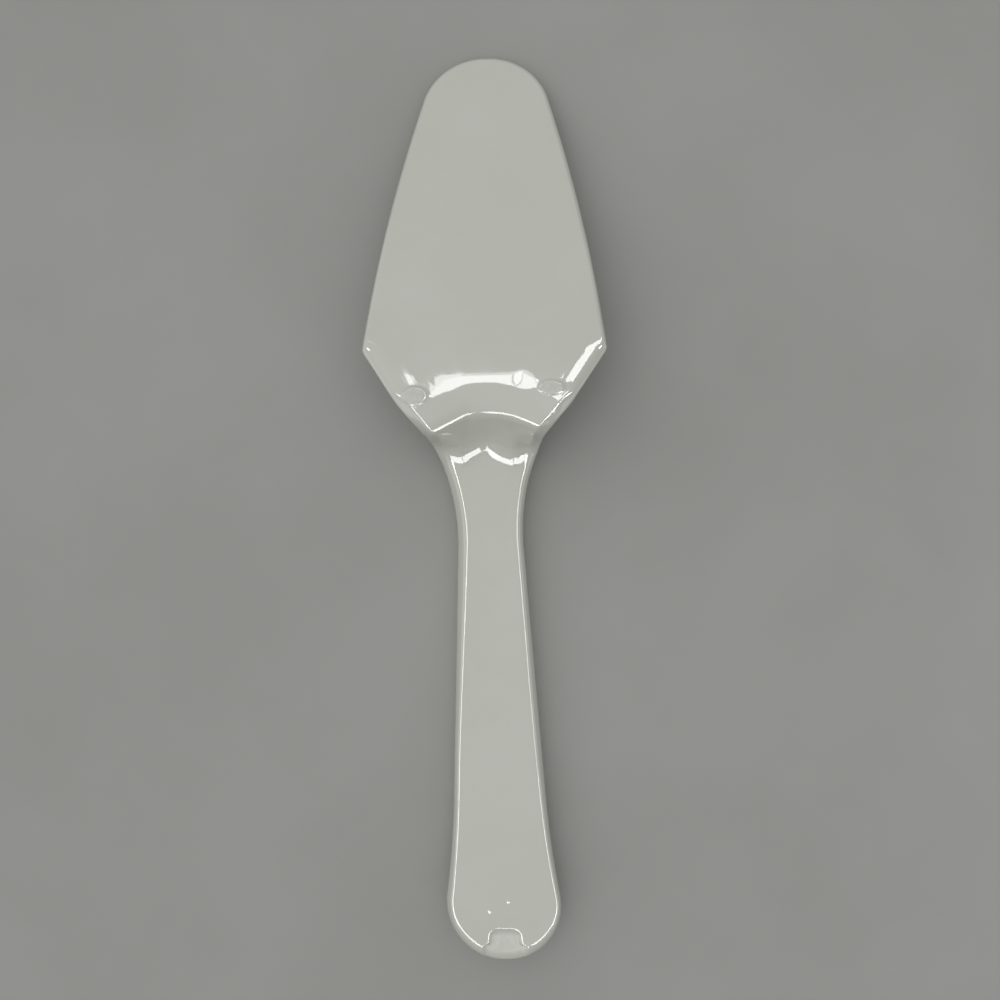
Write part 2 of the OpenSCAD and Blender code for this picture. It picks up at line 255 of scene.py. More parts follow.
def widthAt(arcs, y):
    for i in range(1, len(arcs) - 1):
        arc = arcs[i]
        if arc["stop"].y <= y <= arc["start"].y:
            across = math.sqrt(max(0, arc["radius"] ** 2 - (y - arc["centre"].y) ** 2))
            return arc["centre"].x + arc["side"] * across
        after = arcs[i + 1]["start"]
        if after.y <= y <= arc["stop"].y:
            share = (arc["stop"].y - y) / max(1e-9, arc["stop"].y - after.y)
            return arc["stop"].x + (after.x - arc["stop"].x) * share
    return 0


# Side view: straight stretches as (y, height, half length of the rounding)

tipLow = 0.2834          # how far the serving face's line would pass below the surface at the tip
crestLow = (tipY - crestY) * math.tan(math.radians(server["bladeAngle"])) - tipLow
crestHigh = crestLow + server["baseThick"]
servingLine = [
    (endY, server["endLift"], 0), (liftY, 0, server["liftBlend"]),
    (soleFootY, 0, server["soleBlend"]), (crestY, crestLow, server["soleBlend"]),
    (tipY, -tipLow, 0)]
backLine = [
    (endY, server["endLift"] + server["endThick"], 0),
    (liftY, server["handleThick"], server["liftBlend"]),
    (footY, server["handleThick"], server["footBlend"]),
    (browY, crestHigh - server["browDrop"], server["browBlend"]),
    (crestY, crestHigh, server["crestBlend"]),
    (tipY, server["tipThick"] - tipLow, 0)]


def ease(share):
    share = max(0, min(1, share))
    return share * share * (3 - 2 * share)


def slope(line, i):
    return (line[i + 1][1] - line[i][1]) / (line[i + 1][0] - line[i][0])


def bladeLine(line, y):
    return line[-2][1] + (y - line[-2][0]) * slope(line, len(line) - 2)


def rounding(y, at, half, change):
    part = max(0, half - abs(y - at))
    return change * part * part / (4 * half)


def roundedLine(line, y):
    i = max(0, min(len(line) - 2, bisect.bisect_right([k[0] for k in line], y) - 1))
    height = line[i][1] + (y - line[i][0]) * slope(line, i)
    for k in range(1, len(line) - 1):
        height += rounding(y, line[k][0], line[k][2], slope(line, k) - slope(line, k - 1))
    return height


def arched(x, y):
    fade = ease((y - footY) / (server["neckRun"] * server["archFade"]))
    return min(tipY, y + x * x / (2 * server["archRadius"]) * fade)


def heightOf(line, x, y):
    v = arched(x, y)
    return bladeLine(line, y) + roundedLine(line, v) - bladeLine(line, v)


def leanAt(y):
    below = max(0, footY - y) + rounding(y, footY, server["leanBlend"], 1)
    return math.tan(math.radians(server["lean"])) * below


# The back rolls off softly along the shoulders, outside the feet, and with a tight bend beside
# the neck's brow

shoulderRoll = {"from": 6.6, "run": 4.5, "radius": 27.0, "top": 45.5, "topFade": 4.5, "low": 29.4,
                "lowFade": 4}
neckRoll = {"from": 3.1, "run": 0.8, "radius": 1.35, "top": 30.5, "topFade": 5, "low": 14,
            "lowFade": 5, "leanStep": 0.5}


def rimLean(y, step):
    # how much the outline widens per mm towards the tip
    return (widthAt(outer, y + step) - widthAt(outer, y - step)) / (2 * step)


def rollDrop(roll, inside, y):
    run = roll["from"] - inside
    if run <= 0 or y > roll["top"] or y < roll["low"]:
        return 0
    bent = min(run, roll["run"])
    drop = bent * bent / 2 + (run - bent) * bent
    fade = ease((roll["top"] - y) / roll["topFade"]) * ease((y - roll["low"]) / roll["lowFade"])
    return drop / roll["radius"] * fade


def rollOff(x, y):
    fromShoulder = (Vector((x, y)) - corners[shoulder]).dot(inward(shoulder))
    drop = rollDrop(shoulderRoll, fromShoulder, y)
    if neckRoll["low"] < y < neckRoll["top"]:
        rim = widthAt(outer, y)
        lean = rimLean(y, neckRoll["leanStep"])
        drop += rollDrop(neckRoll, (rim - x) / math.sqrt(1 + lean * lean), y)
    return drop


def skinPoint(flat, depth):
    back = heightOf(backLine, flat.x, flat.y) - rollOff(flat.x, flat.y)
    serving = heightOf(servingLine, flat.x, flat.y)
    return Vector((flat.x, flat.y, back * (1 - depth) + serving * depth))


# Edge of the china: curves from the back to the serving face, as (share of the wall's width
# inwards, share of the thickness down), three points a curve after the first

edge = {
    "curve": [(1.109, 0), (0.99, 0), (0.87, 0.0104), (0.761, 0.0255), (0.543, 0.0552),
              (0.326, 0.12), (0.165, 0.193), (0.07, 0.236), (0, 0.302), (0, 0.375), (0, 0.448),
              (0, 0.52), (0, 0.6), (0, 0.698), (0.13, 0.79), (0.348, 0.855), (0.565, 0.917),
              (1.0, 1), (1.48, 1)],
    "steps": (9, 8, 6, 2, 5, 6),
    "first": [(1.5, 0), (1.42, 0), (1.36, 0), (1.31, 0), (1.27, 0), (1.23, 0), (1.19, 0), (1.15, 0)],
    "last": [(1.8, 1)],
}


def edgeProfile():
    points = [Vector(p) for p in edge["curve"]]
    profile = [Vector(p) for p in edge["first"]] + [points[0]]
    for i, steps in enumerate(edge["steps"]):
        a, b, c, d = points[3 * i:3 * i + 4]
        for k in range(1, steps + 1):
            t = k / steps
            s = 1 - t
            profile.append(a * s ** 3 + b * 3 * s * s * t + c * 3 * s * t * t + d * t ** 3)
    return profile + [Vector(p) for p in edge["last"]]


profile = edgeProfile()
rings = [insetOutline(p.x * server["wall"]) for p in profile]
outer = insetOutline(0)
print("outline drawn in", len(rings), "rings")


# The wall's width, as a share, by y: narrow round the blade, wide beside the neck

wallWidths = [
    (endY, server["toeShare"]), (endY + server["endRadius"], server["endShare"]),
    (waistY, server["waistShare"]), (throatY, 1),
    (shoulderY - server["shoulderRadius"] / 2, 1),
    (shoulderY + server["shoulderRadius"], server["rimShare"]), (tipY, server["rimShare"])]


def stretchAt(table, at):
    # the stretch of a table of (place, value) that a place lies in, and how far along it
    at = max(table[0][0], min(table[-1][0], at))
    i = max(0, min(len(table) - 2, bisect.bisect_right([k[0] for k in table], at) - 1))
    return i, (at - table[i][0]) / (table[i + 1][0] - table[i][0])


def between(table, at):
    # reads a table with a soft turn at each place
    i, share = stretchAt(table, at)
    low, high = table[i][1], table[i + 1][1]
    return low + (high - low) * ease(share)


def curved(table, at):
    # reads a table along one smooth curve through all its values
    i, t = stretchAt(table, at)
    (a, low), (b, high) = table[i], table[i + 1]
    before, after = table[max(0, i - 1)], table[min(len(table) - 1, i + 2)]
    enter = (high - before[1]) / (b - before[0]) * (b - a)
    leave = (after[1] - low) / (after[0] - a) * (b - a)
    return (low * (1 + 2 * t) * (1 - t) ** 2 + enter * t * (1 - t) ** 2
            + high * t * t * (3 - 2 * t) + leave * t * t * (t - 1))


# Rows across the server: along the outline's arcs and edges, or level at a given y

fineStep = 0.05     # mm


def onRing(arcs, row):
    if row[0] == "arc":
        return arcPoint(arcs[row[1]], row[2])
    a, b = arcs[row[1]]["stop"], arcs[row[1] + 1]["start"]
    return a + (b - a) * row[2]


def rowPoint(k, row):
    if row[0] != "level":
        rim = onRing(outer, row)
        return rim + (onRing(rings[k], row) - rim) * between(wallWidths, rim.y)
    y, level = row[1], row[2]
    share = between(wallWidths, y)
    lean = rimLean(y, fineStep)
    y += (1 - level) * profile[k].x * server["wall"] * share * lean / math.sqrt(1 + lean * lean)
    rim = widthAt(outer, y)
    return Vector((rim + (widthAt(rings[k], y) - rim) * share, y))


def arcRows(corner, steps, first=1):
    return [("arc", corner, k / steps) for k in range(first, steps + 1)]


def edgeRows(corner, longest):
    length = (outer[corner + 1]["start"] - outer[corner]["stop"]).length
    steps = max(1, math.ceil(length / longest))
    return [("edge", corner, k / steps) for k in range(1, steps + 1)]


def levelRows(top, low, longest, level):
    steps = max(1, math.ceil((top - low) / longest))
    ys = [top + (low - top) * k / steps for k in range(1, steps + 1)]
    return [("level", y, level(y)) for y in ys]


def addGrid(bm, across, along, placed):
    made = bmesh.ops.create_grid(bm, x_segments=across, y_segments=along, size=1)
    for v in made["verts"]:
        i = round((v.co.x + 1) / 2 * across)
        j = round((v.co.y + 1) / 2 * along)
        v.co = placed(i, j)


def addSkin(bm, rows, backShares, servingShares):
    last = len(profile) - 1
    table = [[rowPoint(k, row) for k in range(last + 1)] for row in rows]

    def onBack(i, j):
        flat = table[j][0]
        return skinPoint(Vector((flat.x * backShares[i], flat.y)), 0)

    def onEdge(i, j):
        return skinPoint(table[j][i], profile[i].y)

    def onServing(i, j):
        flat = table[j][last]
        return skinPoint(Vector((flat.x * servingShares[i], flat.y)), 1)

    addGrid(bm, len(backShares) - 1, len(rows) - 1, onBack)
    addGrid(bm, last, len(rows) - 1, onEdge)
    addGrid(bm, len(servingShares) - 1, len(rows) - 1, onServing)


# The server's own details on the skin: glaze rings round the feet, the notch, a hand-made wave

feet = {
    "left": {"at": (-19.3, 29.0), "size": (5.9, 4.6), "ring": (8.5, 5.8), "ringShift": (0.55, 0.05),
             "seed": 1.3},
    "right": {"at": (18.6, 30.9), "size": (6.1, 3.4), "ring": (8.3, 4.9), "ringShift": (0.15, 0.3),
              "seed": 4.1},
    "rise": 0.36, "sunk": 0.4, "sunkRun": 0.12, "low": 20,
}
notch = {
    "width": 9.8, "length": 9.8, "radius": 3.0, "depth": 1.0, "lipSide": 0.5, "lipTop": 1.2,
    "mouth": 1.7, "mouthAt": 6.3, "dullFrom": 0.75, "dullTo": 1.3,
    "lipTurn": 3, "spare": 1,
}
wave = {"height": 0.035, "length": 26, "seed": 7.0}
comb = {"height": 0.017, "across": 1.8, "along": 16, "from": (0, 2), "fan": 32, "low": 27, "top": 42,
        "lowFade": 4, "topFade": 5}
# how near counts as one point, the share of the thickness that counts as back, and the width over
# which the left side goes over into the right one
skin = {"weld": 0.002, "leastEdge": 0.001, "backShare": 0.45, "sideBlend": 8}
# the part of the server, by y, that the three lines below shape, and where one goes over into the
# next
wander = {"low": 0, "top": 40, "foot": 16, "footRun": 7, "crest": 25, "crestRun": 6,
          "blade": 16, "bladeRun": 8, "level": 29, "levelRun": 7.5, "side": 15.5, "sideRun": 5}
# by how much the lines across the neck lie further up, by x: its foot, its brow and its crest
footWander = [(-14, 1.1), (-9.9, 0.65), (-7.7, 0.3), (-7.2, 0.4), (-5.6, 1.4), (-3.7, 2.35),
              (-2.2, 3.0), (-1.9, 3.1), (0.1, 3.35), (0.4, 3.3), (2.4, 1.75), (4.3, 0.75),
              (6.3, -0.1), (7.0, -0.3), (7.3, -0.3), (7.6, -0.2), (8.6, 0.15), (10.5, 1.4),
              (11.5, 1.8), (14, 1.8)]
browWander = [(-20, -3.4), (-16, -3.2), (-11.3, -2.5), (-6, -1.1), (-4.4, -0.62), (-3.5, -0.57),
              (-0.5, -0.45), (3, -0.36), (6.4, -0.33), (10, -0.37), (15.4, 0.0), (17, 0.8),
              (19.5, 2.0), (24, 2.4)]
crestWander = [(-20, -0.9), (-10, -0.5), (-4, -0.4), (0, -0.5), (8, 0.1), (12.5, 1.4), (16, 2.4),
               (20, 2.4), (26, 2.4)]
# by how much the back face's edge lies further right than the outline, by y: left and right edge
leftShift = [(-130, 0), (-116, 0.45), (-95, 0.1), (-66, 0), (-17, 0.8), (10, 0.8), (15, 0.1),
             (19, -0.2), (23, 0.1), (27, 0.4), (33, 0.2), (40, 0)]
rightShift = [(-130, 0), (-116, 0.45), (-95, 0.25), (-66, 0), (-17, 0.5), (9, 0.4), (15, 0.2),
              (22, 0.3), (28, 0), (36, 0)]
pips = [(1.1, -112.9, 0.8, 0.12), (-4.2, -115.6, 0.8, 0.12)]      # x, y, radius, height


def ovalReach(dx, dy, size):
    return math.hypot(dx / (size[0] / 2), dy / (size[1] / 2))


def footRise(x, y):
    # how far the glaze rises in a ring round a foot, and under it
    rise = 0
    for name in ("left", "right"):
        foot = feet[name]
        dx, dy = x - foot["at"][0], y - foot["at"][1]
        outerReach = ovalReach(dx - foot["ringShift"][0], dy - foot["ringShift"][1], foot["ring"])
        if outerReach >= 1:
            continue
        innerReach = ovalReach(dx, dy, foot["size"])
        if innerReach <= 1:
            rise = feet["rise"] * (1 - feet["sunk"] * ease((1 - innerReach) / feet["sunkRun"]))
        else:
            rise = feet["rise"] * ease((1 - outerReach) / (innerReach - outerReach))
    return rise


def notchInside(x, y):
    # how far inside the notch's outline (x, y) lies, and how round the lip is there
    down = max(0, min(notch["mouth"], endY + notch["mouthAt"] - y))
    half = notch["width"] / 2 + notch["mouth"] - math.sqrt(notch["mouth"] ** 2 - down * down)
    dx = abs(x) - (half - notch["radius"])
    dy = y - (endY + notch["length"] - notch["radius"])
    inside = notch["radius"] - math.hypot(max(0, dx), max(0, dy)) - min(0, max(dx, dy))
    turn = ease(0.5 + (dy - dx) / notch["lipTurn"])
    lip = notch["lipSide"] + (notch["lipTop"] - notch["lipSide"]) * turn
    return max(0, inside), lip


def notchFall(x, y):
    inside, lip = notchInside(x, y)
    return notch["depth"] * (1 - math.exp(-inside * inside / (2 * lip * notch["depth"])))


def dulled(x, y):
    # the bowl of the notch has hardly any glaze
    if y > endY + notch["length"]:
        return 0
    inside, lip = notchInside(x, y)
    steepest = math.sqrt(lip * notch["depth"])
    return ease((inside / steepest - notch["dullFrom"]) / (notch["dullTo"] - notch["dullFrom"]))


def wandered(x, y):
    # how far the back rises where the lines across the neck leave their plain arcs
    v = arched(x, y)
    foot = 1 - ease((v - wander["foot"]) / wander["footRun"])
    crest = ease((v - wander["crest"]) / wander["crestRun"])
    shift = (curved(footWander, x) * foot + curved(crestWander, x) * crest
             + curved(browWander, x) * (1 - foot - crest))
    level = ease((y - wander["level"]) / wander["levelRun"])
    shift += (v - y) * level * ease((wander["side"] - x) / wander["sideRun"])
    onBlade = ease((v - wander["blade"]) / wander["bladeRun"])
    moved = v - shift
    change = roundedLine(backLine, moved) - roundedLine(backLine, v)
    return change - slope(backLine, len(backLine) - 2) * (moved - v) * onBlade


def combed(x, y):
    # faint ridges in the glaze, fanning out from the neck
    fan = (x - comb["from"][0]) * comb["fan"] / (y - comb["from"][1])
    spot = Vector((fan / comb["across"], y / comb["along"], 0.5))
    fade = ease((y - comb["low"]) / comb["lowFade"]) * ease((comb["top"] - y) / comb["topFade"])
    return comb["height"] * noise.noise(spot) * fade


def finishSkin(bm):
    # closes the halves, then adds what differs from side to side
    bmesh.ops.remove_doubles(bm, verts=bm.verts[:], dist=skin["weld"])
    for v in bm.verts:
        if abs(v.co.x) < skin["weld"]:
            v.co.x = 0
    bmesh.ops.mirror(bm, geom=bm.verts[:] + bm.edges[:] + bm.faces[:], axis="X",
                     merge_dist=skin["weld"])
    bmesh.ops.dissolve_degenerate(bm, edges=bm.edges[:], dist=skin["leastEdge"])
    bareLayer = bm.verts.layers.float.new("bared")
    for v in bm.verts:
        x, y, z = v.co
        back, serving = heightOf(backLine, x, y), heightOf(servingLine, x, y)
        onBack = ease(1 - (back - z) / (back - serving) / skin["backShare"])
        if y > feet["low"]:
            z += footRise(x, y) * onBack
        if comb["low"] < y < comb["top"]:
            z += combed(x, y) * onBack
        if wander["low"] < y < wander["top"]:
            z += wandered(x, y) * onBack
        for px, py, radius, height in pips:
            z += height * ease(1 - math.hypot(x - px, y - py) / radius) * onBack
        if y < endY + notch["length"] + notch["spare"]:
            z -= notchFall(x, y) * onBack
        spot = Vector((x, y, wave["seed"])) / wave["length"]
        z += wave["height"] * noise.noise(spot)
        left = ease(0.5 - x / skin["sideBlend"])
        aside = curved(leftShift, y) * left + curved(rightShift, y) * (1 - left)
        v[bareLayer] = dulled(x, y) * onBack
        x += leanAt(y) + aside * onBack
        v.co = (x, y, max(z, 0))


def smoothAndClose(bm):
    # smooths the skin, fills the flat cuts at the slip joint and keeps their rims sharp
    for f in bm.faces:
        f.smooth = True
    rims = [e for e in bm.edges if e.is_boundary]
    if rims:
        made = bmesh.ops.holes_fill(bm, edges=rims, sides=0)
        for f in made["faces"]:
            f.smooth = False
    for e in rims:
        e.smooth = False


def finishPiece(bm, name, *replaced, slot):
    bmesh.ops.scale(bm, vec=(mm, mm, mm), verts=bm.verts[:])
    bmesh.ops.recalc_face_normals(bm, faces=bm.faces[:])
    mesh = bpy.data.meshes.new(name)
    bm.to_mesh(mesh)
    bm.free()
    piece = bpy.data.objects.new(name, mesh)
    bpy.context.scene.collection.objects.link(piece)
    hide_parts(*replaced)
    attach(piece, "root")
    print("piece made:", name, len(mesh.polygons), "faces")
    return piece


def spread(*stretches):
    # shares from 0 to 1, as stretches of (share that it ends at, number of steps)
    shares = [0.0]
    for stop, steps in stretches:
        start = shares[-1]
        shares += [start + (stop - start) * k / steps for k in range(1, steps + 1)]
    return shares


# Blade with its neck

blade = {
    "noseSteps": 44, "bowSteps": 10, "shoulderSteps": 14, "bulgeSteps": 26, "throatSteps": 14,
    "longestOnBlade": 1.8, "longestOnNeck": 0.3, "levelBefore": 1,
    "backShares": spread((0.55, 14), (1, 32)), "servingShares": spread((1, 18)),
}
seamTop = jointY + server["slip"] / 2
seamLow = jointY - server["slip"] / 2
seamStep = 0.04     # from the seam to the next row


def makeBlade():
    bm = bmesh.new()
    rows = [("edge", 0, 0)]
    rows += arcRows(nose, blade["noseSteps"])
    rows += edgeRows(nose, blade["longestOnBlade"]) + arcRows(bow, blade["bowSteps"])
    rows += edgeRows(bow, blade["longestOnBlade"]) + arcRows(shoulder, blade["shoulderSteps"])
    rows += edgeRows(shoulder, blade["longestOnNeck"]) + arcRows(bulge, blade["bulgeSteps"])
    rows += edgeRows(bulge, blade["longestOnNeck"]) + arcRows(throat, blade["throatSteps"])
    top = outer[throat]["stop"].y
    rows += levelRows(top, seamTop + seamStep, blade["longestOnNeck"],
                      lambda y: ease((top - y) / (top - seamTop - blade["levelBefore"])))
    rows.append(("level", seamTop, 1))
    addSkin(bm, rows, blade["backShares"], blade["servingShares"])
    finishSkin(bm)
    smoothAndClose(bm)
    return finishPiece(bm, "blade_china", "blade", slot="glazed_china")


# Handle with its round end

handle = {
    "bottomSteps": 52, "sideSteps": 56, "longestNearWaist": 0.6, "nearWaistTo": -20,
    "longestOnHandle": 1.4, "fineLength": 8.5, "fineSteps": 42, "spareBend": 4,
    "levelFrom": -97, "levelTo": -109,
}


def coonsPlace(bottom, top, left, right, i, j):
    # one point of the patch between four rows of points
    u = bottom[i].x / bottom[-1].x
    v = (left[j].y - left[0].y) / (left[-1].y - left[0].y)
    sides = bottom[i] * (1 - v) + top[i] * v + left[j] * (1 - u) + right[j] * u
    both = (bottom[0] * (1 - u) * (1 - v) + bottom[-1] * u * (1 - v)
            + top[0] * (1 - u) * v + top[-1] * u * v)
    return sides - both


def addEndFace(bm, k, depth, bottomRows, sideRows):
    # the flat of the round end: its bottom row runs from the middle outwards
    bottom = [rowPoint(k, row) for row in reversed(bottomRows)]
    right = [rowPoint(k, row) for row in reversed(sideRows)]
    low, high = bottom[0].y, right[-1].y
    fine = handle["fineSteps"]
    rest = len(right) - 1 - fine
    left = [Vector((0, low + handle["fineLength"] * j / fine)) for j in range(fine + 1)]
    left += [Vector((0, left[-1].y + (high - left[-1].y) * n / rest)) for n in range(1, rest + 1)]
    spare = right[-1].x - bottom[-1].x
    top = [Vector((b.x + spare * (b.x / bottom[-1].x) ** handle["spareBend"], high)) for b in bottom]

    def placed(i, j):
        return skinPoint(coonsPlace(bottom, top, left, right, i, j), depth)

    addGrid(bm, len(bottom) - 1, len(right) - 1, placed)
    return [p.x / top[-1].x for p in top]


def makeHandle():
    bm = bmesh.new()
    arcSteps = handle["bottomSteps"] + handle["sideSteps"]
    endArc = arcRows(end, arcSteps, first=0)
    sideRows = endArc[:handle["sideSteps"] + 1]
    bottomRows = endArc[handle["sideSteps"]:] + [("edge", end, 1)]
    last = len(profile) - 1
    backShares = addEndFace(bm, 0, 0, bottomRows, sideRows)
    servingShares = addEndFace(bm, last, 1, bottomRows, sideRows)
    top = outer[end]["start"].y

    def level(y):
        return 1 - ease((handle["levelFrom"] - y) / (handle["levelFrom"] - handle["levelTo"]))

    rows = [("level", seamLow, 1), ("level", seamLow - seamStep, 1)]
    rows += levelRows(seamLow - seamStep, handle["nearWaistTo"], handle["longestNearWaist"], level)
    rows += levelRows(handle["nearWaistTo"], top, handle["longestOnHandle"], level)[:-1]
    rows.append(endArc[0])
    addSkin(bm, rows, backShares, servingShares)
    edgeRing = sideRows + bottomRows[1:]
    table = [[rowPoint(k, row) for k in range(last + 1)] for row in edgeRing]
    addGrid(bm, last, len(edgeRing) - 1, lambda i, j: skinPoint(table[j][i], profile[i].y))
    finishSkin(bm)
    smoothAndClose(bm)
    return finishPiece(bm, "handle_china", "handle", slot="glazed_china")


# Slip joint under the glaze, between blade and handle

# its rows lie at these shares of its thickness, from its middle
slipJoint = {"rows": (0.5, 0.45, 0.25, 0, -0.25, -0.45, -0.5), "backShares": spread((1, 40))}


def makeSlip():
    bm = bmesh.new()
    rows = [("level", jointY + share * server["slip"], 1) for share in slipJoint["rows"]]
    addSkin(bm, rows, slipJoint["backShares"], slipJoint["backShares"])
    finishSkin(bm)
    smoothAndClose(bm)
    return finishPiece(bm, "neck_slip_ring", "neck_slip", slot="glazed_china")


bladePiece = makeBlade()
handlePiece = makeHandle()
slipPiece = makeSlip()


# Bare china: the feet, ground flat, and the end rest

bare = {
    "sides": 72, "deep": 1.3, "rim": 0.07, "rimSteps": 3, "wobble": 0.018, "thirdShare": 0.7,
    "sharpFrom": 50,
    "restSize": (7.4, 4.4), "restAt": (-0.3, -124.6), "restSquare": 0.6, "restDeep": 0.35,
    "restProud": 0.03, "restRim": 0.3, "restSteps": (36, 24),
}
bladeTilt = math.atan(-slope(backLine, len(backLine) - 2))


def groundOval(size, deep, seed):
    # an uneven oval with a soft rim, its top in the XY plane
    bm = bmesh.new()
    bmesh.ops.create_circle(bm, cap_ends=True, radius=1, segments=bare["sides"])
    for v in bm.verts:
        a = math.atan2(v.co.y, v.co.x)
        third = bare["thirdShare"] * math.sin(3 * a + 2 * seed)
        grow = 1 + bare["wobble"] * (math.sin(2 * a + seed) + third)
        v.co = (v.co.x * grow * size[0] / 2, v.co.y * grow * size[1] / 2, 0)
    sides = bmesh.ops.extrude_face_region(bm, geom=bm.faces[:])
    lowered = [v for v in sides["geom"] if isinstance(v, bmesh.types.BMVert)]
    bmesh.ops.translate(bm, vec=(0, 0, -deep), verts=lowered)
    bmesh.ops.recalc_face_normals(bm, faces=bm.faces[:])
    top = [f for f in bm.faces if f.normal.z > 0.9 and f.calc_center_median().z > -deep / 2]
    rim = [e for f in top for e in f.edges]
    bmesh.ops.bevel(bm, geom=rim, offset=bare["rim"], offset_type="OFFSET", profile=0.5,
                    segments=bare["rimSteps"], affect="EDGES", material=-1)
    for f in bm.faces:
        f.smooth = True
    for e in bm.edges:
        if len(e.link_faces) == 2 and e.calc_face_angle(0) > math.radians(bare["sharpFrom"]):
            e.smooth = False
    return bm


def markBared(bm, share):
    # how bare the china is: 1 is ground bare, 0 is still under the glaze
    layer = bm.verts.layers.float.new("bared")
    for v in bm.verts:
        v[layer] = share(v)


def makeFoot(name):
    foot = feet[name]
    x, y = foot["at"]
    bm = groundOval(foot["size"], bare["deep"], foot["seed"])
    markBared(bm, lambda v: 1)
    bmesh.ops.rotate(bm, cent=(0, 0, 0), matrix=Matrix.Rotation(-bladeTilt, 3, "X"),
                     verts=bm.verts[:])
    up = Vector((0, math.sin(bladeTilt), math.cos(bladeTilt))) * feet["rise"]
    place = Vector((x, y, bladeLine(backLine, y))) + up
    bmesh.ops.translate(bm, vec=place, verts=bm.verts[:])
    return finishPiece(bm, name + "_foot_bare", name + "_foot", slot="bare_china")


def makeEndRest():
    # a bare patch in the bowl of the notch: z first holds how far in from its rim a point lies
    bm = bmesh.new()
    across, along = bare["restSteps"]
    bmesh.ops.create_grid(bm, x_segments=across, y_segments=along, size=1)
    square = bare["restSquare"]
    for v in bm.verts:
        x, y = v.co.x, v.co.y
        v.co.x = x * (square + (1 - square) * math.sqrt(1 - y * y / 2))
        v.co.y = y * (square + (1 - square) * math.sqrt(1 - x * x / 2))
        v.co.z = 1 - max(abs(x), abs(y))
    markBared(bm, lambda v: ease(v.co.z / bare["restRim"]))
    for v in bm.verts:
        x = bare["restAt"][0] + v.co.x * bare["restSize"][0] / 2
        y = bare["restAt"][1] + v.co.y * bare["restSize"][1] / 2
        rise = bare["restProud"] * ease(v.co.z / bare["restRim"])
        v.co = (x + leanAt(y), y, heightOf(backLine, x, y) - notchFall(x, y) + rise)
    sides = bmesh.ops.extrude_face_region(bm, geom=bm.faces[:])
    lowered = [v for v in sides["geom"] if isinstance(v, bmesh.types.BMVert)]
    bmesh.ops.translate(bm, vec=(0, 0, -bare["restDeep"]), verts=lowered)
    for f in bm.faces:
        f.smooth = True
    return finishPiece(bm, "end_rest_bare", "end_rest", slot="bare_china")


leftFoot = makeFoot("left")
rightFoot = makeFoot("right")
endRest = makeEndRest()
print("bare rests made")


# Effects that the materials share, as node groups

def newGroup(name, inputs, outputs):
    group = bpy.data.node_groups.new(name, "ShaderNodeTree")
    for label, kind, value in inputs:
        socket = group.interface.new_socket(name=label, in_out="INPUT", socket_type=kind)
        if value is not None:
            socket.default_value = value
    for label, kind in outputs:
        group.interface.new_socket(name=label, in_out="OUTPUT", socket_type=kind)
    return group, addNode(group, "NodeGroupInput"), addNode(group, "NodeGroupOutput")


def mixColours(tree, share, first, second):
    mix = addNode(tree, "ShaderNodeMix", data_type="RGBA")
    tree.links.new(share, mix.inputs[0])
    for value, socket in ((first, mix.inputs[6]), (second, mix.inputs[7])):
        if isinstance(value, bpy.types.NodeSocket):
            tree.links.new(value, socket)
        else:
            socket.default_value = (*value, 1)
    return mix.outputs[2]


def makeCloudGroup():
    # soft clouds of two colours, from large to small
    vector, colour, number = "NodeSocketVector", "NodeSocketColor", "NodeSocketFloat"
    group, given, out = newGroup(
        "softClouds",
        [("Vector", vector, None), ("Scale", number, 60.0), ("Softness", number, 0.2),
         ("Light", colour, None), ("Dark", colour, None)],
        [("Color", colour), ("Mask", number)])
    cloud = addNode(group, "ShaderNodeTexNoise")
    cloud.inputs["Detail"].default_value = 4
    cloud.inputs["Roughness"].default_value = 0.55
    group.links.new(given.outputs["Vector"], cloud.inputs["Vector"])
    group.links.new(given.outputs["Scale"], cloud.inputs["Scale"])
    spreadOut = addNode(group, "ShaderNodeMapRange", interpolation_type="SMOOTHSTEP")
    group.links.new(cloud.outputs["Fac"], spreadOut.inputs["Value"])
    group.links.new(calculate(group, "SUBTRACT", 0.5, given.outputs["Softness"]),
                    spreadOut.inputs["From Min"])
    group.links.new(calculate(group, "ADD", 0.5, given.outputs["Softness"]),
                    spreadOut.inputs["From Max"])
    mask = spreadOut.outputs["Result"]
    group.links.new(mixColours(group, mask, given.outputs["Dark"], given.outputs["Light"]),
                    out.inputs["Color"])
    group.links.new(mask, out.inputs["Mask"])
    return group


def makeSpeckGroup():
    # rare fine specks, such as kiln dust under a glaze or pores in ground china
    vector, number = "NodeSocketVector", "NodeSocketFloat"
    group, given, out = newGroup(
        "fineSpecks",
        [("Vector", vector, None), ("Scale", number, 900.0), ("Size", number, 0.12),
         ("Share", number, 0.1)],
        [("Mask", number)])
    cells = addNode(group, "ShaderNodeTexVoronoi")
    group.links.new(given.outputs["Vector"], cells.inputs["Vector"])
    group.links.new(given.outputs["Scale"], cells.inputs["Scale"])
    near = addNode(group, "ShaderNodeMapRange", interpolation_type="SMOOTHSTEP")
    near.inputs["From Min"].default_value = 0
    near.inputs["To Min"].default_value = 1
    near.inputs["To Max"].default_value = 0
    group.links.new(cells.outputs["Distance"], near.inputs["Value"])
    group.links.new(given.outputs["Size"], near.inputs["From Max"])
    split = addNode(group, "ShaderNodeSeparateColor")
    group.links.new(cells.outputs["Color"], split.inputs[0])
    chosen = calculate(group, "LESS_THAN", split.outputs[0], given.outputs["Share"])
    group.links.new(calculate(group, "MULTIPLY", near.outputs["Result"], chosen),
                    out.inputs["Mask"])
    return group


